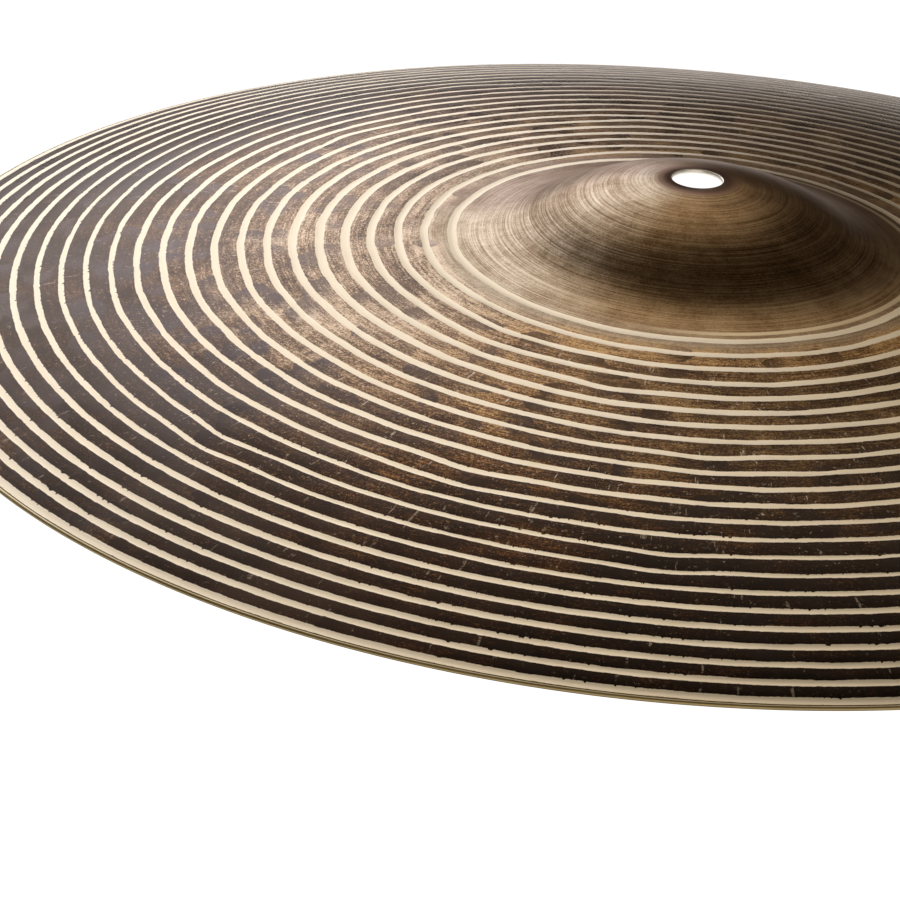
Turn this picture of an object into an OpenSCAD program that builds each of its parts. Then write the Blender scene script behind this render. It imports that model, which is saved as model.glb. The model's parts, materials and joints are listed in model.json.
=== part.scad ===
/* [Outline] */
// Diameter of the cymbal, a 16 inch crash
cymbal_d = 406.4; // [380:0.1:430]
// Height of the dome's peak above the rim's underside, if the dome had no hole
cymbal_h = 42.1; // [41:0.1:45]
// Diameter of the hole for the stand's rod
hole_d = 13; // [11:0.5:16]

/* [Bell] */
// Radius of the dome's curve, seen from the side
crown_curve_r = 77.2; // [74:0.1:82]
// Distance from the axis to where the dome turns hollow
crown_end_r = 40.6; // [39.5:0.1:41.4]
// Radius of the hollow curve round the bell's foot
foot_curve_r = 48.8; // [45:0.1:52]
// Distance from the axis to where the bell's foot meets the bow
bell_end_r = 61.7; // [60:0.1:64]

/* [Bow] */
// Radius of the inner bow's curve
inner_bow_curve_r = 3200; // [1500:50:5000]
// Distance from the axis to where the bow starts to bend faster
bow_change_r = 112.5; // [105:0.5:130]

/* [Metal] */
// Thickness at the bell
bell_t = 1.25; // [1:0.05:1.6]
// Thickness at the bow and the rim
bow_t = 0.95; // [0.8:0.05:1.2]

/* [Lathed grooves] */
// Number of grooves cut through the raw skin
groove_count = 23; // [8:1:23]
// Distance from the axis to the middle of the first groove
groove_start_r = 61.3; // [60:0.1:62]
// Distance from the first groove to the second
groove_pitch = 7.16; // [6:0.02:7.16]
// How much each next gap is narrower than the one before
groove_closing = 0.0764; // [0.076:0.0002:0.12]
// How far the hand-held tool drifts to either side of that even closing
groove_drift = 0.7; // [0:0.1:1]
// Width of a groove
groove_w = 1.7; // [1:0.1:2]
// Depth of a groove
groove_depth = 0.08; // [0.04:0.01:0.12]

/* [Hidden] */
$fn = 180;

rim_r = cymbal_d / 2;
rim_round = bow_t / 2;
rim_centre = [rim_r - rim_round, rim_round];
hole_r = hole_d / 2;
step_r = 2.4;            // spacing of the points along the curves
side_w = 0.3;            // width of a groove's sloping side
edge_round = 0.25;       // rounding at the mouths of the hole
drift_turn = 19.2;       // how far the drift's wave turns from groove to groove, in degrees
drift_start = 51.7;
round_steps = 4;

// The side view is four arcs that run into each other: dome, foot, inner bow and outer bow.
// Each arc is [centre distance from the axis, centre height, radius, +1 domed or -1 hollow].
crown = [0, cymbal_h - crown_curve_r, crown_curve_r, 1];
foot = next_arc(crown, crown_end_r, foot_curve_r, -1);
inner_bow = next_arc(foot, bell_end_r, inner_bow_curve_r, 1);
outer_bow = next_arc(inner_bow, bow_change_r, outer_curve_r(), 1);

// Slope angle of an arc at distance r, positive where it falls away from the axis
function slope_on(arc, r) = arc[3] * asin((r - arc[0]) / arc[2]);
// Height of an arc at distance r
function height_on(arc, r) = arc[1] + arc[3] * sqrt(pow(arc[2], 2) - pow(r - arc[0], 2));
// The arc that leaves the one before it at distance r with the same slope
function next_arc(arc, r, radius, bend) =
    let (slope = slope_on(arc, r))
    [r - bend * radius * sin(slope), height_on(arc, r) - bend * radius * cos(slope), radius, bend];
// Radius of the outer bow that starts with the inner bow's slope and touches the rim's round edge,
// whose circle stands on the ground: the two centres are one radius less the other apart
function outer_curve_r() =
    let (slope = slope_on(inner_bow, bow_change_r),
         gap = [bow_change_r, height_on(inner_bow, bow_change_r)] - rim_centre,
         along = gap * [sin(slope), cos(slope)])
    (gap * gap - rim_round * rim_round) / (2 * (along - rim_round));

function arc_at(r) =
    r < crown_end_r ? crown : r < bell_end_r ? foot : r < bow_change_r ? inner_bow : outer_bow;
function top_z(r) = height_on(arc_at(r), r);
function slope(r) = slope_on(arc_at(r), r);
// The metal thins from the bell to the bow along a smooth curve
function ease(x) = x <= 0 ? 0 : x >= 1 ? 1 : x * x * (3 - 2 * x);
function metal_t(r) = bell_t + (bow_t - bell_t) * ease((r - crown_end_r / 2) / bow_change_r);
// A point of the underside, straight through the metal from the top at distance r
function under(r) = [r - metal_t(r) * sin(slope(r)), top_z(r) - metal_t(r) * cos(slope(r))];

function groove_r(i) =
    groove_start_r + groove_pitch * i - groove_closing * i * (i - 1) / 2
    - groove_drift * sin(drift_turn * i - drift_start);
// Four corners of groove i, from the bell's side outwards
function groove_points(i) =
    let (half = groove_w / 2)
    [for (corner = [[-half, 0], [side_w - half, 1], [half - side_w, 1], [half, 0]])
     let (r = groove_r(i) + corner[0]) [r, top_z(r) - corner[1] * groove_depth]];
// Grooves that would run off the edge of a smaller cymbal are left out
function fits(i) = groove_r(i) + groove_w / 2 < rim_r - bow_t;

function steps(a, b, size) =
    let (n = ceil((b - a) / size)) b > a ? [for (k = [0 : n]) a + (b - a) * k / n] : [];
function turn(centre, radius, from, to) = [
    for (k = [0 : round_steps])
    let (a = from + (to - from) * k / round_steps) centre + radius * [cos(a), sin(a)]];

// Cross-section of the metal, on one side of the axis
module section() {
    top_start = hole_r + edge_round;
    rim_slope = atan2(rim_centre[0] - outer_bow[0], rim_centre[1] - outer_bow[1]);
    bell_top = [for (r = steps(top_start, groove_r(0) - groove_w, step_r)) [r, top_z(r)]];
    bow_top = [for (i = [0 : groove_count - 1]) if (fits(i)) each groove_points(i)];
    last_groove = max([for (i = [0 : groove_count - 1]) if (fits(i)) groove_r(i)]);
    bare_top = [for (r = steps(last_groove + groove_w, rim_r - 2 * bow_t, step_r)) [r, top_z(r)]];
    rim = turn(rim_centre, rim_round, 90 - rim_slope, -90);
    underside = [for (r = steps(top_start, rim_r - 2 * bow_t, 2 * step_r)) under(r)];
    wall_low = under(top_start)[1] + edge_round;
    wall_high = top_z(top_start) - edge_round;
    polygon(concat(
        bell_top,
        bow_top,
        bare_top,
        rim,
        [for (k = [len(underside) - 1 : -1 : 1]) underside[k]],
        turn([top_start, wall_low], edge_round, 270, 180),
        turn([top_start, wall_high], edge_round, 180, 90)));
}

// The whole cymbal: one disc of bronze, spun up into a bell and a bow, with a hole on its axis
module cymbal() {
    color([0.62, 0.50, 0.33]) rotate_extrude() section();
}

cymbal();
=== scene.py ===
import json
import math

import bpy
import numpy as np
from mathutils import Matrix, Vector


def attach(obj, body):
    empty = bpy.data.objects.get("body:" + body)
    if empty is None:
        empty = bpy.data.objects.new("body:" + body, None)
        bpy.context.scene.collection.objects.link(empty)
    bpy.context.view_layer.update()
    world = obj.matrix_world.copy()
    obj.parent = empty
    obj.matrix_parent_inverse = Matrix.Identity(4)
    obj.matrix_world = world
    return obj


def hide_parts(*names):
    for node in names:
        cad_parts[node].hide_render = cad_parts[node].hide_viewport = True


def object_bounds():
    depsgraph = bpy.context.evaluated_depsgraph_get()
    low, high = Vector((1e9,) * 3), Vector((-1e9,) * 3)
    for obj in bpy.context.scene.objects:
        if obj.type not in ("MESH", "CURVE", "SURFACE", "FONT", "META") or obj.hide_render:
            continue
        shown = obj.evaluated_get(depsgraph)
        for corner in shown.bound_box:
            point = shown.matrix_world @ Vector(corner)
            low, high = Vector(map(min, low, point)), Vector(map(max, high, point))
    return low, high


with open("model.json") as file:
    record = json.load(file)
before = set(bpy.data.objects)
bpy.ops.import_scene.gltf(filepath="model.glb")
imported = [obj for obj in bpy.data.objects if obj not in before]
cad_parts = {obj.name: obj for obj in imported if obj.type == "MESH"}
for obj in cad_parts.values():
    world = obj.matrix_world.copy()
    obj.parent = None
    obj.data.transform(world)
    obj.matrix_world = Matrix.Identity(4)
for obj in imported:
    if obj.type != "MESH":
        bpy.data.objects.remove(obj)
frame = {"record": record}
cadLow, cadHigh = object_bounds()
print("frame loaded: cymbal", round((cadHigh[0] - cadLow[0]) * 1000, 1), "mm across")

# Lengths in the dictionaries are in mm, and the studio's in metres
mm = 0.001
fullTurn = 2 * math.pi
noMark = 9.0    # distance given to a point that has no hammer mark near it

cymbal = {
    "rim": cadHigh[0] / mm,
    "hole": frame["record"]["mounts"][0]["dims"]["r_mm"],
    "peak": 42.1,   # height of the dome's peak, if it had no hole
    "domeCurve": 77.2, "domeEnd": 40.6,
    "footCurve": 48.8, "bellEnd": 61.7,
    "innerCurve": 3200.0, "bowChange": 112.5,
    "bellMetal": 1.25, "bowMetal": 0.95,
    "holeRound": 0.25, "bellMargin": 1.2,
    "columns": 448, "bellRows": 26, "rimRows": 9, "underRows": 46, "mouthRows": 4,
}

grooves = {
    "count": 23, "start": 61.31, "pitch": 7.163, "closing": 0.0764,
    "drift": 0.71, "driftTurn": 0.3348, "driftStart": 0.903,
    "depth": 0.05, "rows": (-1, -0.6, 0, 0.6, 1),
    "widest": 2.3, "narrowing": 0.75, "narrowAt": 158.0, "narrowReach": 34.0,
    "change": 0.07, "changeTurn": 5.3,
    "waves": (      # turns per mm, reach, shift from one groove to the next
        (0.016, 0.13, 1.9), (0.034, 0.10, 4.1), (0.066, 0.05, 2.7)),
    "calmFrom": 150.0, "calmTo": 172.0, "calmed": 0.8, "strayFade": 20.0,
    "dips": (       # dents that the tool slid down: distance out, and turn in degrees
        (79, -125), (92, -100), (119, -86), (139, -109), (158, -132), (158, -90),
        (96, -28), (128, -45), (148, -12), (84, 30), (112, 18), (160, 55),
        (135, 84), (101, 100), (122, 142), (155, 118)),
    "slide": 1.5, "dipAlong": 9.0, "dipAcross": 5.0,
}

hammer = {
    "firstRow": 69.0, "lastRow": 196.0, "rowGap": 7.0, "along": 15.0,
    "halfLong": (4.0, 8.0), "halfWide": (3.0, 5.0), "lean": (-0.35, 0.35),
    "shakenAlong": 0.7, "shakenOut": (-4.5, 4.5), "skipped": 0.12, "seed": 16,
    "depth": 0.07, "reach": 1.4, "bulge": 0.6,
    "topStop": 3.0, "underStop": 6.0, "rimFade": 8.0, "bellFade": 6.0,
}


# Four arcs that run into each other, as (centre distance, centre height, radius, +1 domed or -1 hollow).
# The last arc's radius is the one that touches the rim's round edge.
def bowArcs(c):
    def follow(arc, r, radius, bend):
        slope = arc[3] * math.asin((r - arc[0]) / arc[2])
        z = arc[1] + arc[3] * math.sqrt(arc[2] ** 2 - (r - arc[0]) ** 2)
        return (r - bend * radius * math.sin(slope), z - bend * radius * math.cos(slope), radius, bend)

    dome = (0.0, c["peak"] - c["domeCurve"], c["domeCurve"], 1)
    foot = follow(dome, c["domeEnd"], c["footCurve"], -1)
    inner = follow(foot, c["bellEnd"], c["innerCurve"], 1)
    edge = c["bowMetal"] / 2
    slope = math.asin((c["bowChange"] - inner[0]) / inner[2])
    height = inner[1] + math.sqrt(inner[2] ** 2 - (c["bowChange"] - inner[0]) ** 2)
    gapR, gapZ = c["bowChange"] - (c["rim"] - edge), height - edge
    along = gapR * math.sin(slope) + gapZ * math.cos(slope)
    outerCurve = (gapR ** 2 + gapZ ** 2 - edge ** 2) / (2 * (along - edge))
    return dome, foot, inner, follow(inner, c["bowChange"], outerCurve, 1)


arcs = bowArcs(cymbal)
joins = (cymbal["domeEnd"], cymbal["bellEnd"], cymbal["bowChange"])


# Height of the top and its downward slope angle at distance r from the axis: the arc that r lies on
def topSurface(r):
    which = np.searchsorted(joins, r, side="right")
    centre, level, radius, bend = (np.array(column)[which] for column in zip(*arcs))
    across = (r - centre) / radius
    return level + bend * radius * np.sqrt(1 - across ** 2), bend * np.arcsin(across)


# Metal thickness: from the bell's to the bow's along the smooth step 3x² - 2x³
def metalThickness(r):
    x = np.clip((r - cymbal["domeEnd"] / 2) / cymbal["bowChange"], 0, 1)
    return cymbal["bellMetal"] + (cymbal["bowMetal"] - cymbal["bellMetal"]) * x * x * (3 - 2 * x)


# Middle of groove i: an even pitch that closes a little each turn, less a slow sine for the hand's drift
def grooveRadius(i):
    g = grooves
    return (g["start"] + g["pitch"] * i - g["closing"] * i * (i - 1) / 2
            - g["drift"] * np.sin(g["driftTurn"] * i - g["driftStart"]))


# Half width of groove i: wide near the bell and the rim, less a bell curve that is deepest between them,
# with a small sine from one groove to the next
def grooveHalf(i):
    g = grooves
    dip = np.exp(-((grooveRadius(i) - g["narrowAt"]) / g["narrowReach"]) ** 2)
    return (g["widest"] - g["narrowing"] * dip) / 2 * (1 + g["change"] * np.sin(g["changeTurn"] * i))


# How far groove i strays at a turn: a sum of waves, each half sine and half the straight-sided wave
# asin(sin), calmer near the rim, and a bell curve outwards at each dent
def grooveStray(i, turn):
    g = grooves
    middle = grooveRadius(i)
    total = 0
    for perMm, reach, shift in g["waves"]:
        phase = np.round(middle * perMm * fullTurn) * turn + shift * i
        total = total + reach * (0.5 * np.sin(phase) + np.arcsin(np.sin(phase)) / math.pi)
    calm = np.clip((middle - g["calmFrom"]) / (g["calmTo"] - g["calmFrom"]), 0, 1)
    total = total * (1 - g["calmed"] * calm)
    for distance, degrees in g["dips"]:
        away = (turn - math.radians(degrees) + math.pi) % fullTurn - math.pi
        along = away * distance / g["dipAlong"]
        across = (middle - distance) / g["dipAcross"]
        total = total + g["slide"] * np.exp(-along ** 2 - across ** 2)
    return total


# Hammer marks: rows round the axis, evenly spaced and then shaken. Each mark is an oval that lies along
# its row.
def hammerMarks():
    h = hammer
    rng = np.random.default_rng(h["seed"])
    rows = []
    for row in np.arange(h["firstRow"], h["lastRow"], h["rowGap"]):
        n = round(fullTurn * row / h["along"])
        keep = rng.random(n) > h["skipped"]
        turn = (np.arange(n) + rng.random() + h["shakenAlong"] * (rng.random(n) - 0.5)) * fullTurn / n
        rows.append(np.stack([
            turn, row + rng.uniform(*h["shakenOut"], n), rng.uniform(*h["halfLong"], n),
            rng.uniform(*h["halfWide"], n), rng.random(n), rng.uniform(*h["lean"], n)], 1)[keep])
    return np.concatenate(rows)


# Distance of each point from its nearest mark, in that mark's own half widths, with the mark's tone and
# the place along it: the point is turned into the mark's frame and scaled by its two half widths
def hammerField(r, turn):
    nearest = np.full(r.shape, noMark)
    tone, place = np.zeros(r.shape), np.zeros(r.shape)
    for markTurn, markR, halfLong, halfWide, markTone, lean in hammerMarks():
        away = (turn - markTurn + math.pi) % fullTurn - math.pi
        along, across = away * markR, r - markR
        u = (along * math.cos(lean) + across * math.sin(lean)) / halfLong
        v = (across * math.cos(lean) - along * math.sin(lean)) / halfWide
        q = np.sqrt(u * u + v * v)
        closer = q < nearest
        nearest = np.where(closer, q, nearest)
        tone = np.where(closer, markTone, tone)
        place = np.where(closer, u * math.copysign(1, lean), place)
    return nearest, tone, place


# Depth of the hammer's dents: (1 - distance² / reach)², fading out before the rim and at the bell's foot
def dentDepth(distance, r, rimStop):
    h = hammer
    fade = np.clip((cymbal["rim"] - rimStop - r) / h["rimFade"], 0, 1)
    fade = fade * np.clip((r - cymbal["bellEnd"]) / h["bellFade"], 0, 1)
    return h["depth"] * np.clip(1 - distance * distance / h["reach"], 0, 1) ** 2 * fade


# Rows of the top before they stray: distance from the axis, depth, groove number, distance inside the groove
# and side of it, from -1 at the bell's side to +1. The groove's hollow is 1 - across². Each groove gives
# five rows, and each land between two grooves one.
def grooveRows():
    c, g = cymbal, grooves
    index = np.arange(g["count"])
    middle, half = grooveRadius(index), grooveHalf(index)
    across = np.array(g["rows"])
    depth = (1 - across ** 2) * g["depth"]
    land = ((middle + half)[:-1] + (middle - half)[1:]) / 2
    gap = ((middle - half)[1:] - (middle + half)[:-1]) / 2
    bell = np.linspace(c["hole"] + c["holeRound"], middle[0] - half[0] - c["bellMargin"], c["bellRows"])
    rows = [(bell, 0 * bell, 0 * bell, bell - bell[-1] - c["bellMargin"], 0 * bell - 1)]
    for k in index:
        rows.append((
            middle[k] + half[k] * across, depth, np.full(len(across), k),
            half[k] * (1 - abs(across)), across))
        if k < g["count"] - 1:
            rows.append((land[k:k + 1], np.zeros(1), np.full(1, k + 0.5), -gap[k:k + 1], np.zeros(1)))
    return [np.concatenate(column) for column in zip(*rows)]


# The top: each row strays with its groove, and sinks by the groove's hollow and the hammer's dents.
# It also gives what the material needs to know at each point.
def topRows(turn):
    rowR, rowDepth, rowGroove, rowInside, rowSide = grooveRows()
    low, high = np.floor(rowGroove)[:, None], np.ceil(rowGroove)[:, None]
    stray = (grooveStray(low, turn) + grooveStray(high, turn)) / 2
    stray = stray * np.clip((rowR - cymbal["domeEnd"]) / grooves["strayFade"], 0, 1)[:, None]
    r = rowR[:, None] + stray
    distance, tone, place = hammerField(r, turn + 0 * r)
    z = topSurface(r)[0] - rowDepth[:, None] - dentDepth(distance, r, hammer["topStop"])
    return r, z, (distance, tone, place, rowInside[:, None] + 0 * turn, rowSide[:, None] + 0 * turn)


# The rim: an arc of a circle as wide as the metal is thick, from where the top touches it down to the floor
def rimRows(turn):
    edge = cymbal["bowMetal"] / 2
    rim = cymbal["rim"] - edge
    slope = math.atan2(rim - arcs[3][0], edge - arcs[3][1])
    around = np.linspace(math.pi / 2 - slope, -math.pi / 2, cymbal["rimRows"])[:, None] + 0 * turn
    return rim + edge * np.cos(around), edge + edge * np.sin(around)


# The underside: the top's curve moved in by the metal's thickness, with the dents as shallow bulges
def underRows(turn):
    c, h = cymbal, hammer
    start, end = c["rim"] - 2 * c["bowMetal"], c["hole"] + c["holeRound"]
    r = np.linspace(start, end, c["underRows"])[:, None] + 0 * turn
    top, slope = topSurface(r)
    thick = metalThickness(r)
    distance, tone, place = hammerField(r, turn + 0 * r)
    bulge = h["bulge"] * dentDepth(distance, r, h["underStop"])
    z = top - thick * np.cos(slope) - bulge
    return r - thick * np.sin(slope), z, (distance, tone, place, 0 * r, 0 * r)


# The hole: a quarter circle, a straight wall and a quarter circle, from the underside up to the top
def holeRows(turn, underside):
    c = cymbal
    mouth = c["hole"] + c["holeRound"]
    wallLow = underside + c["holeRound"]
    wallHigh = topSurface(np.array([mouth]))[0][0] - c["holeRound"]
    quarter = np.linspace(0, math.pi / 2, c["mouthRows"])[1:]
    sine, cosine = c["holeRound"] * np.sin(quarter), c["holeRound"] * np.cos(quarter)
    r = np.concatenate([mouth - sine, mouth - cosine[:-1]])
    z = np.concatenate([wallLow - cosine, wallHigh + sine[:-1]])
    return r[:, None] + 0 * turn, z[:, None] + 0 * turn


# A closed ring of quads: every row is carried round the axis, and the last row joins the first
def ringMesh(name, x, y, z):
    rows, columns = x.shape
    points = np.stack([x, y, z], -1).reshape(-1, 3) * mm
    i, j = np.meshgrid(np.arange(rows), np.arange(columns), indexing="ij")
    down, right = (i + 1) % rows, (j + 1) % columns
    faces = np.stack([i * columns + j, down * columns + j, down * columns + right, i * columns + right], -1)
    mesh = bpy.data.meshes.new(name)
    mesh.from_pydata(points.tolist(), [], faces.reshape(-1, 4).tolist())
    mesh.polygons.foreach_set("use_smooth", np.ones(rows * columns, bool))
    return mesh, i.ravel()


# The cymbal as rows of points: out along the top through every groove, round the rim,
# back along the underside, and up through the hole
def makeCymbal():
    turn = np.linspace(-math.pi, math.pi, cymbal["columns"], endpoint=False)[None, :]
    topR, topZ, topValues = topRows(turn)
    rimR, rimZ = rimRows(turn)
    underR, underZ, underValues = underRows(turn)
    holeR, holeZ = holeRows(turn, underZ[-1, 0])

    r = np.concatenate([topR, rimR, underR, holeR])
    z = np.concatenate([topZ, rimZ, underZ, holeZ])
    mesh, row = ringMesh("cymbal_plate", r * np.cos(turn), r * np.sin(turn), z)
    topEnd = len(topR) - 1
    rimEnd = topEnd + len(rimR)
    underEnd = rimEnd + len(underR)
    slot = np.select([row < topEnd, row < rimEnd, row < underEnd], [0, 1, 2], 1)
    mesh.polygons.foreach_set("material_index", slot.astype(np.int32))

    names = ("markDistance", "markTone", "markPlace", "grooveInside", "grooveSide")
    for name, top, under in zip(names, topValues, underValues):
        values = np.concatenate([top, np.full(rimR.shape, noMark), under, np.full(holeR.shape, noMark)])
        mesh.attributes.new(name, "FLOAT", "POINT").data.foreach_set("value", values.ravel())
    mesh.update()
    piece = bpy.data.objects.new("cymbal_plate", mesh)
    bpy.context.scene.collection.objects.link(piece)
    print("cymbal plate:", len(mesh.polygons) * 2, "triangles")
    return piece


# A number or colour that changes over the surface: a socket in a material's node tree
class Wire:
    def __init__(self, tree, socket=None):
        self.tree, self.socket = tree, socket

    # Adds a node: its settings first, then values or wires for its sockets, by name or number
    def node(self, kind, settings=None, inputs=None, out=0):
        made = self.tree.nodes.new(kind)
        for name, value in (settings or {}).items():
            if name == "stops":
                ramp = made.color_ramp.elements
                while len(ramp) < len(value):
                    ramp.new(0.5)
                for stop, (place, colour) in zip(ramp, value):
                    stop.position, stop.color = place, (*colour, 1)
            else:
                setattr(made, name, value)
        for name, value in (inputs or {}).items():
            if isinstance(value, Wire):
                self.tree.links.new(value.socket, made.inputs[name])
            else:
                made.inputs[name].default_value = value
        return Wire(self.tree, made.outputs[out])

    def math(self, operation, first, second=0.0):
        return self.node("ShaderNodeMath", {"operation": operation}, {0: first, 1: second})

    def __add__(self, other):
        return self.math("ADD", self, other)

    def __radd__(self, other):
        return self.math("ADD", other, self)

    def __sub__(self, other):
        return self.math("SUBTRACT", self, other)

    def __rsub__(self, other):
        return self.math("SUBTRACT", other, self)

    def __mul__(self, other):
        return self.math("MULTIPLY", self, other)

    def __rmul__(self, other):
        return self.math("MULTIPLY", other, self)

    def __truediv__(self, other):
        return self.math("DIVIDE", self, other)

    def __rtruediv__(self, other):
        return self.math("DIVIDE", other, self)

    def __pow__(self, other):
        return self.math("POWER", self, other)

    # 0 at low, 1 at high, smooth between; low may be the larger
    def rise(self, low, high):
        return self.node("ShaderNodeMapRange", {"interpolation_type": "SMOOTHSTEP"},
                         {"Value": self, "From Min": low, "From Max": high})

    # Noise made to swing about zero, by up to half the amount either way
    def swing(self, amount):
        return (self - 0.5) * amount

    # Tone picked by this number from a row of (place, colour) stops
    def ramp(self, stops):
        return self.node("ShaderNodeValToRGB", {"stops": stops}, {0: self})

    def mix(self, share, first, second, blend="MIX"):
        made = self.tree.nodes.new("ShaderNodeMix")
        made.data_type, made.blend_type = "RGBA", blend
        for at, value in ((0, share), (6, first), (7, second)):
            if isinstance(value, Wire):
                self.tree.links.new(value.socket, made.inputs[at])
            else:
                made.inputs[at].default_value = value if at == 0 else (*value, 1)
        return Wire(self.tree, made.outputs[2])

    # This colour, covered by another where share is 1
    def covered(self, share, colour):
        return self.mix(share, self, colour)

    # This colour, multiplied by a tint where share is 1
    def tinted(self, share, tint):
        return self.mix(share, self, self.mix(1.0, self, tint, "MULTIPLY"))


# Everything the bronze's patterns are made from, in mm: place, distance from the axis and the noises that
# follow them
class BronzeMap:
    def __init__(self, tree):
        self.start = Wire(tree)
        place = self.start.node("ShaderNodeTexCoord", out=3)
        self.place = self.start.node(
            "ShaderNodeVectorMath", {"operation": "SCALE"}, {0: place, "Scale": 1 / mm})
        apart = self.start.node("ShaderNodeSeparateXYZ", None, {0: self.place})
        outputs = apart.socket.node.outputs
        self.x, self.y, self.z = (Wire(tree, outputs[number]) for number in range(3))
        self.r = self.start.math("SQRT", self.x * self.x + self.y * self.y)

    def noise(self, where, scale, detail, rough):
        return self.start.node("ShaderNodeTexNoise", None, {
            "Vector": where, "Scale": scale, "Detail": detail, "Roughness": rough})

    # Noise stretched along the lathe's cut: even across the disc, and finer by radius
    def lathe(self, around, across, detail=3.0, rough=0.6, seed=0.0):
        where = self.start.node("ShaderNodeCombineXYZ", None, {
            0: self.x * around, 1: self.y * around, 2: self.r * across + seed})
        return self.noise(where, 1.0, detail, rough)

    # Noise stretched outwards from the axis
    def spoke(self, across, outwards, detail=2.0, seed=0.0):
        where = self.start.node("ShaderNodeCombineXYZ", None, {
            0: self.x / self.r * across, 1: self.y / self.r * across, 2: self.r * outwards + seed})
        return self.noise(where, 1.0, detail, 0.5)

    # Noise that is the same size both ways
    def cloud(self, size, detail=3.0, rough=0.55, seed=0.0):
        where = self.start.node("ShaderNodeVectorMath", {"operation": "ADD"}, {
            0: self.place, 1: (seed, 2 * seed, 3 * seed)})
        return self.noise(where, 1 / size, detail, rough)

    # Nearness to a circle round the axis: 1 on it, and 0 from the outer distance on
    def scored(self, radius, outer, inner):
        return self.start.math("ABSOLUTE", self.r - radius).rise(outer, inner)

    def attribute(self, name):
        return self.start.node("ShaderNodeAttribute", {"attribute_name": name}, out=2)


# An empty material with its tree and shader
def newFinish(name):
    look = bpy.data.materials.new(name)
    look.use_nodes = True
    return look, look.node_tree, look.node_tree.nodes["Principled BSDF"]


# Links each wire to the shader's socket of that name
def wearFinish(tree, shader, wires):
    for name, wire in wires.items():
        tree.links.new(wire.socket, shader.inputs[name])


def bumpOf(m, height):
    return m.start.node("ShaderNodeBump", None, {"Strength": 1.0, "Distance": mm, "Height": height})


ringFinish = {
    "raggedLathe": 0.5, "raggedCloud": 0.35, "markBite": 0.14, "nickBite": 0.5, "edge": 0.07,
    "nicksFrom": 110.0, "nicksFull": 160.0,
    "dull": (0.80, 0.69, 0.53), "bright": (0.98, 0.91, 0.77), "rough": 0.44,
}

# Raw skin. Places are distances from the axis.
skinFinish = {
    "middle": 0.30, "patches": 0.8, "streaks": 0.7, "grain": 1.35, "brushed": 0.8,
    "combed": 0.9, "combedFrom": 130.0, "combedFull": 90.0,
    "wornFrom": 180.0, "wornFull": 90.0, "worn": 0.345,
    "footFrom": 80.0, "footFull": 66.0, "footWorn": 0.20,
    "rubbedAt": (-110.0, -69.0), "rubbedReach": (48.0, 8.0), "rubbed": 0.07, "darkening": 0.03,
    "tones": (
        (0.20, (0.009, 0.005, 0.002)), (0.38, (0.034, 0.018, 0.009)), (0.52, (0.098, 0.058, 0.032)),
        (0.66, (0.25, 0.160, 0.092)), (0.84, (0.64, 0.50, 0.36))),
    # plum oxide tint: a real purple tint, and on the outer left of the bow also a painted sheen
    "plum": (0.072, 0.050, 0.054), "plumShare": 0.6,
    "brownMark": (0.030, 0.016, 0.010), "blueMark": (0.020, 0.017, 0.030), "markShare": 0.85,
    "innerMarkDark": (0.020, 0.011, 0.006), "innerMarkPale": (0.15, 0.095, 0.060),
    "fleck": (0.66, 0.54, 0.42), "fleckShare": 0.8,
    # painted shade: the tints for the side away from the far left and for the right side of the bow
    "warmTint": (1.0, 0.80, 0.47), "darkTint": (0.42, 0.42, 0.42), "outerTint": (0.72, 0.57, 0.42),
    "scratched": (0.66, 0.56, 0.47), "scratchShare": 0.8, "chipShare": 0.7,
    "rough": 0.25, "roughGrain": 0.12, "roughMark": 0.06, "metal": 0.82, "plumMetal": 0.3,
}

bellFinish = {
    "middle": 0.56, "turned": 0.75, "fine": 0.7, "mottle": 0.5, "grain": 0.5,
    "crownPale": 0.08, "shoulderDark": 0.07, "footPale": 0.11,
    "tones": (
        (0.30, (0.085, 0.050, 0.022)), (0.48, (0.30, 0.215, 0.135)), (0.62, (0.53, 0.435, 0.325)),
        (0.82, (0.78, 0.70, 0.58))),
    # painted shade: the bell's tints for the side away from the far left, least away from the foot, and for
    # the far side
    "frontTint": (0.60, 0.49, 0.355), "frontLeast": 0.4, "farTint": (0.70, 0.65, 0.68),
    "darkLine": (0.05, 0.026, 0.010), "darkLineShare": 0.6,
    "ragged": 16.0, "end": (70.0, 63.0),
    "collar": (11.8, 9.6), "collarShare": 0.95,
    "collarDark": (0.075, 0.040, 0.030), "collarPale": (0.27, 0.165, 0.120),
    "footLineAt": 58.4, "footLine": (0.85, 0.72, 0.52), "footLineShare": 0.7, "rougher": 0.07,
}

edgeFinish = {
    "dull": (0.22, 0.15, 0.055), "gold": (0.60, 0.47, 0.24), "under": (0.055, 0.032, 0.010),
    "scoredAt": 202.35, "scored": (0.03, 0.015, 0.005),
    "burrAt": 202.62, "burr": (0.95, 0.85, 0.62),
    "wall": (0.95, 0.91, 0.84), "wallWithin": (9.0, 8.0),
}

underFinish = {
    "tones": (
        (0.40, (0.020, 0.012, 0.008)), (0.55, (0.075, 0.045, 0.028)), (0.70, (0.20, 0.13, 0.08))),
    "linePitch": 6.5, "lineWander": 1.2, "line": (0.80, 0.66, 0.44), "lineShare": 0.5,
}


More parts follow.
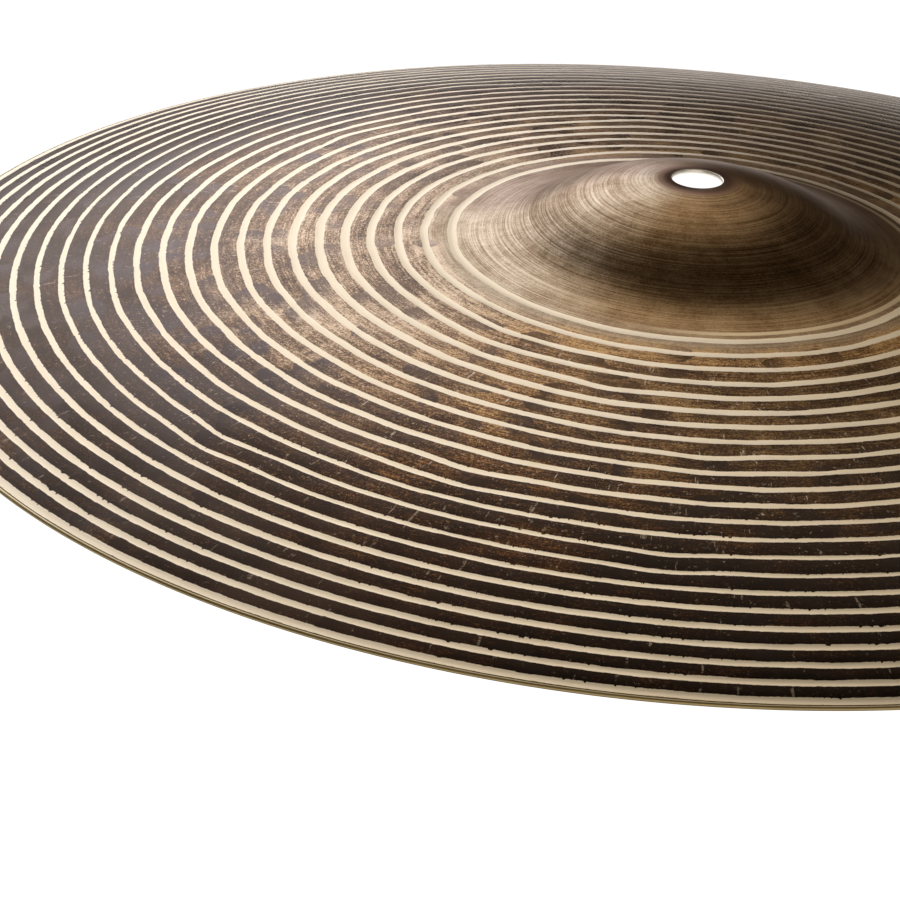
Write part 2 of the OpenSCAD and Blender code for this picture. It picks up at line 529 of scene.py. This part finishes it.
# Share of bare lathed metal, 0 to 1: how far a point lies inside its groove, with the edge made uneven by
# noise and bitten into by dark marks and by nicks on the side towards the bell
def lathedShare(m, marks):
    g = ringFinish
    ragged = (m.lathe(around=0.16, across=0.3, detail=3.0, rough=0.65, seed=5.0).swing(g["raggedLathe"])
              + m.cloud(size=1.2, detail=2.0, rough=0.7, seed=9.0).swing(g["raggedCloud"]))
    nicks = m.spoke(across=170.0, outwards=0.05, detail=4.0, seed=3.0).rise(0.54, 0.70)
    nicks = nicks * m.cloud(size=11.0, detail=2.0, rough=0.5, seed=27.0).rise(0.42, 0.60)
    nicks = nicks * m.attribute("grooveSide").rise(0.2, -0.4)
    bitten = nicks * m.r.rise(g["nicksFrom"], g["nicksFull"]) * g["nickBite"]
    inside = m.attribute("grooveInside") + ragged - marks * g["markBite"] - bitten
    return inside.rise(-g["edge"], g["edge"])


# Dark share of the hammer marks, 0 to 1: each oval has a ragged edge, fades along its length, and is as dark
# as its own tone
def markShare(m, tone):
    edge = m.attribute("markDistance") + m.cloud(size=2.0, detail=2.0).swing(0.3)
    return edge.rise(1.03, 0.98) * m.attribute("markPlace").rise(1.0, -0.7) * tone.rise(0.2, 0.6)


# Short pale scratches that run outwards, fewer towards the rim
def scratchShare(m):
    scratch = m.spoke(across=120.0, outwards=0.09, detail=3.0, seed=7.0).rise(0.64, 0.69)
    scratch = scratch * m.cloud(size=3.5, detail=3.0, rough=0.8, seed=41.0).rise(0.50, 0.58)
    return scratch * (m.r.rise(165.0, 100.0) * 0.7 + 0.3)


# Raw skin: brown oxide, mottled and streaked, worn to paler metal near the bell and near black at the rim
def skinColour(m, grain, tone, darkMark, plum, scratch):
    s, r = skinFinish, m.r
    patches = m.cloud(size=18.0, detail=4.0, rough=0.7, seed=3.0)
    streaks = m.lathe(around=0.07, across=1.0, detail=4.0, rough=0.75)
    brushed = m.lathe(around=0.5, across=2.4, detail=3.0, rough=0.9, seed=14.0)
    combed = m.lathe(around=0.04, across=3.2, detail=4.0, rough=0.85, seed=91.0)
    rubX, rubY = s["rubbedAt"]
    rubbed = m.start.math("SQRT", (m.x - rubX) ** 2.0 + (m.y - rubY) ** 2.0).rise(*s["rubbedReach"])
    wear = (r.rise(s["wornFrom"], s["wornFull"]) * s["worn"]
            + r.rise(s["footFrom"], s["footFull"]) * s["footWorn"]
            + rubbed * s["rubbed"] - s["darkening"])
    shade = (patches.swing(s["patches"]) + s["middle"] + streaks.swing(s["streaks"]) + grain.swing(s["grain"])
             + brushed.swing(s["brushed"]) + wear
             + combed.swing(s["combed"]) * r.rise(s["combedFrom"], s["combedFull"]))
    skin = shade.ramp(s["tones"])
    # plum patches: partly purple oxide and partly a painted sheen on the outer left of the bow
    skin = skin.covered(plum * s["plumShare"], s["plum"])

    # marks are brown or blue by their own tone, and brown with a pale grain near the bell
    outerMark = m.start.mix(tone, s["brownMark"], s["blueMark"])
    innerMark = m.start.mix(grain, s["innerMarkDark"], s["innerMarkPale"])
    skin = skin.covered(darkMark * s["markShare"], outerMark.covered(r.rise(120.0, 80.0), innerMark))

    speck = m.cloud(size=1.3, detail=3.0, rough=0.8, seed=21.0)
    flecks = (speck * 0.5 + grain * 0.5).rise(0.57, 0.62)
    flecks = flecks * m.cloud(size=9.0, detail=2.0, rough=0.5, seed=33.0).rise(0.44, 0.60)
    flecks = flecks * r.rise(205.0, 130.0) * (1 - darkMark * 0.7)
    skin = skin.covered(flecks * s["fleckShare"], s["fleck"])

    # painted shade: browner away from the far left side and darker on the right, standing in for how the
    # light falls; the skin is also darker and browner towards the rim
    skin = skin.tinted((m.x / r).rise(-0.85, -0.35), s["warmTint"])
    skin = skin.tinted((m.x - m.y * 0.25).rise(-25.0, 60.0) * r.rise(70.0, 86.0), s["darkTint"])
    skin = skin.tinted(r.rise(105.0, 170.0), s["outerTint"])

    chip = m.cloud(size=1.5, detail=4.0, rough=0.85, seed=63.0).rise(0.625, 0.665)
    chip = chip * (r.rise(190.0, 120.0) * 0.8 + 0.2)
    bared = (scratch * s["scratchShare"] + chip * s["chipShare"]) * (1 - darkMark * 0.5)
    return skin.covered(bared, s["scratched"])


# Lathed bell: fine turned lines over a tan ground, darker on the shoulder, with painted shade on its near and
# far sides
def bellColour(m, turned, mottle, grain):
    b, r = bellFinish, m.r
    fine = m.lathe(around=0.015, across=6.5, detail=2.0, rough=0.8, seed=5.5)
    shade = (turned.swing(b["turned"]) + b["middle"] + fine.swing(b["fine"]) + mottle.swing(b["mottle"])
             + grain.swing(b["grain"]) + r.rise(24.0, 11.0) * b["crownPale"]
             - r.rise(22.0, 36.0) * b["shoulderDark"] + r.rise(41.0, 53.0) * b["footPale"])
    bell = shade.ramp(b["tones"])
    # painted shade: darker and browner away from the far left side, most at the foot, and duller on the far
    # side
    atFoot = r.rise(68.0, 55.0) * (1 - b["frontLeast"]) + b["frontLeast"]
    bell = bell.tinted((m.x / r).rise(-0.85, -0.2) * atFoot, b["frontTint"])
    bell = bell.tinted((m.y / r).rise(-0.1, 0.4), b["farTint"])
    darkLine = m.lathe(around=0.02, across=4.2, detail=3.0, rough=0.9, seed=61.0).rise(0.45, 0.36)
    darkLine = darkLine * m.cloud(size=30.0, detail=2.0, rough=0.5, seed=66.0).rise(0.35, 0.6)
    return bell.covered(darkLine * b["darkLineShare"], b["darkLine"])


# Lathed, hammered and oxidised top
def topMaterial():
    look, tree, shader = newFinish("hammeredBronzeTop")
    m = BronzeMap(tree)
    s, b, r = skinFinish, bellFinish, m.r
    tone = m.attribute("markTone")
    darkMark = markShare(m, tone)
    bare = lathedShare(m, darkMark)
    scratch = scratchShare(m)
    grain = m.cloud(size=0.62, detail=3.0, rough=0.9, seed=12.0)
    turned = m.lathe(around=0.02, across=2.6, detail=4.0, rough=0.8, seed=2.0)
    mottle = m.cloud(size=9.0, detail=5.0, rough=0.75, seed=8.0)
    # plum patches of oxide, kept to the outer left of the bow: partly a real purple tint and partly a painted
    # sheen
    plum = m.cloud(size=45.0, detail=2.0, rough=0.5, seed=77.0).rise(0.44, 0.60)
    plum = plum * r.rise(105.0, 150.0) * m.x.rise(-20.0, -110.0)
    bellShare = (r + mottle.swing(b["ragged"]) * r.rise(62.0, 66.0)).rise(*b["end"])

    colour = skinColour(m, grain, tone, darkMark, plum, scratch)
    colour = colour.covered(bellShare, bellColour(m, turned, mottle, grain))
    collarTone = m.start.mix(r.rise(7.5, 11.0), b["collarDark"], b["collarPale"])
    colour = colour.covered(r.rise(*b["collar"]) * b["collarShare"], collarTone)
    ringLines = m.lathe(around=0.03, across=3.5, detail=3.0, rough=0.7, seed=17.0)
    colour = colour.covered(bare, m.start.mix(ringLines, ringFinish["dull"], ringFinish["bright"]))
    # one bare line near the bell's foot, on its right side
    footLine = m.scored(b["footLineAt"], 0.95, 0.5) * m.x.rise(-25.0, 20.0) * b["footLineShare"]
    colour = colour.covered(footLine, b["footLine"])

    metal = (s["metal"] - plum * s["plumMetal"]) * (1 - bellShare) + bellShare
    metal = metal * (1 - bare) + bare
    rough = grain * s["roughGrain"] + s["rough"] - darkMark * s["roughMark"] + bellShare * b["rougher"]
    rough = rough * (1 - bare) + bare * ringFinish["rough"]
    turnedDeep, latheDeep, grainDeep, scratchDeep = 0.010, 0.008, 0.010, 0.01
    cut = m.lathe(around=0.03, across=2.2, detail=3.0, rough=0.8, seed=31.0)
    height = (turned * turnedDeep * bellShare + cut * latheDeep
              + grain * grainDeep * (1 - bare) * (1 - bellShare) - scratch * scratchDeep)
    wearFinish(tree, shader, {
        "Base Color": colour, "Metallic": metal, "Roughness": rough, "Normal": bumpOf(m, height)})
    shader.inputs["Anisotropic"].default_value = 0.6
    shader.inputs["IOR"].default_value = 1.33
    shader.inputs["Specular Tint"].default_value = (1.0, 0.88, 0.82, 1)
    return look


# The turned, slightly tarnished edge and the wall of the hole
def edgeMaterial():
    look, tree, shader = newFinish("turnedBronzeEdge")
    m = BronzeMap(tree)
    e = edgeFinish
    lines = m.lathe(around=0.02, across=6.0, detail=2.0, rough=0.7, seed=4.0)
    gold = m.start.mix(lines * 0.7 + m.cloud(size=12.0) * 0.5 - 0.1, e["dull"], e["gold"])
    colour = m.start.mix(m.z.rise(0.62, 0.18), gold, e["under"])
    # a dark scored line and a bright burr lie between the last groove and the rounded edge
    top = m.z.rise(0.5, 0.6)
    colour = colour.covered(m.scored(e["scoredAt"], 0.16, 0.06) * top, e["scored"])
    colour = colour.covered(m.scored(e["burrAt"], 0.14, 0.05) * top, e["burr"])
    colour = colour.covered(m.r.rise(*e["wallWithin"]), e["wall"])
    wearFinish(tree, shader, {"Base Color": colour, "Roughness": m.cloud(size=5.0) * 0.2 + 0.30})
    shader.inputs["Metallic"].default_value = 0.9
    return look


# Raw underside: the same skin with faint turned lines
def underMaterial():
    look, tree, shader = newFinish("rawBronzeUnderside")
    m = BronzeMap(tree)
    u = underFinish
    streaks = m.lathe(around=0.04, across=1.3, detail=4.0, rough=0.7, seed=50.0)
    shade = (m.cloud(size=30.0, detail=4.0, rough=0.6, seed=60.0) * 0.5 + streaks * 0.4
             + m.lathe(around=0.8, across=1.7, detail=3.0, rough=0.75, seed=70.0) * 0.3)
    wander = m.lathe(around=0.2, across=0.3, detail=2.0).swing(u["lineWander"])
    lines = m.start.math("PINGPONG", m.r + wander, u["linePitch"]).rise(0.9, 0.6)
    colour = shade.ramp(u["tones"]).covered(lines * u["lineShare"], u["line"])
    wearFinish(tree, shader, {
        "Base Color": colour, "Metallic": lines * 0.5 + 0.45, "Roughness": streaks * 0.15 + 0.45,
        "Normal": bumpOf(m, streaks * 0.02)})
    shader.inputs["Anisotropic"].default_value = 0.5
    return look


plate = makeCymbal()
for look in (topMaterial(), edgeMaterial(), underMaterial()):
    plate.data.materials.append(look)
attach(plate, "root")
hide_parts("cymbal")
print("cymbal plate made")

studio = {
    "floorDrop": 2.8, "floorReach": 40.0, "floorSides": 64,
    "floorTone": (0.92, 0.92, 0.91), "floorGlow": 1.05,
    "air": 0.09, "airTone": (1.0, 0.84, 0.64),
    "lights": (     # name, place, size across and up, power, colour
        ("mainSoftbox", (-1.3, 2.1, 1.05), (2.2, 1.15), 23.0, (0.91, 0.94, 1.0)),
        ("highSoftbox", (-0.35, 2.05, 2.5), (2.4, 1.5), 11.0, (1.0, 0.88, 0.70)),
        ("frontSoftbox", (0.6, -2.3, 0.9), (3.4, 1.2), 13.0, (1.0, 0.92, 0.80)),
    ),
    "lens": 149.68, "sensor": 36.0, "nearest": 0.01,
    "distance": 0.97598, "elevation": 22.946, "pan": 3.386, "tilt": -2.169, "roll": 5.178,
}


# A wide glowing disc under the cymbal
def makeFloor():
    reach, drop, sides = studio["floorReach"], studio["floorDrop"], studio["floorSides"]
    turn = np.linspace(0, fullTurn, sides, endpoint=False)
    points = np.stack([reach * np.cos(turn), reach * np.sin(turn), 0 * turn - drop], 1)
    mesh = bpy.data.meshes.new("floor")
    mesh.from_pydata(points.tolist(), [], [list(range(sides))])
    floor = bpy.data.objects.new("floor", mesh)
    bpy.context.scene.collection.objects.link(floor)
    look, _, shader = newFinish("paleFloor")
    shader.inputs["Base Color"].default_value = (*studio["floorTone"], 1)
    shader.inputs["Roughness"].default_value = 0.9
    shader.inputs["Emission Color"].default_value = (1, 1, 1, 1)
    shader.inputs["Emission Strength"].default_value = studio["floorGlow"]
    mesh.materials.append(look)


# Softboxes that face the cymbal, and a faint warm air
def makeLights():
    for name, place, (across, up), power, colour in studio["lights"]:
        light = bpy.data.lights.new(name, "AREA")
        light.shape, light.size, light.size_y = "RECTANGLE", across, up
        light.energy, light.color = power, colour
        lamp = bpy.data.objects.new(name, light)
        facing = Vector(place).to_track_quat("Z", "Y").to_matrix().to_4x4()
        lamp.matrix_world = Matrix.Translation(place) @ facing
        bpy.context.scene.collection.objects.link(lamp)
    world = bpy.data.worlds.new("studioAir")
    world.use_nodes = True
    back = world.node_tree.nodes["Background"]
    back.inputs["Color"].default_value = (*studio["airTone"], 1)
    back.inputs["Strength"].default_value = studio["air"]
    bpy.context.scene.world = world
    bpy.context.scene.view_settings.view_transform = "Standard"


# The camera: in front of the cymbal at a distance and an elevation, facing the middle of its rim's circle,
# then turned by its pan, tilt and roll
def makeCamera():
    camera = bpy.data.cameras.new("camera")
    camera.lens, camera.sensor_width = studio["lens"], studio["sensor"]
    camera.clip_start = studio["nearest"]
    eye = bpy.data.objects.new("camera", camera)
    elevation, pan, tilt, roll = (math.radians(studio[name]) for name in ("elevation", "pan", "tilt", "roll"))
    place = Vector((0.0, -math.cos(elevation), math.sin(elevation))) * studio["distance"]
    facing = Matrix.Rotation(math.pi / 2 - elevation, 4, "X")
    turned = Matrix.Rotation(pan, 4, "Y") @ Matrix.Rotation(tilt, 4, "X") @ Matrix.Rotation(roll, 4, "Z")
    eye.matrix_world = Matrix.Translation(place) @ facing @ turned
    bpy.context.scene.collection.objects.link(eye)
    bpy.context.scene.camera = eye


makeFloor()
makeLights()
makeCamera()
print("studio made")
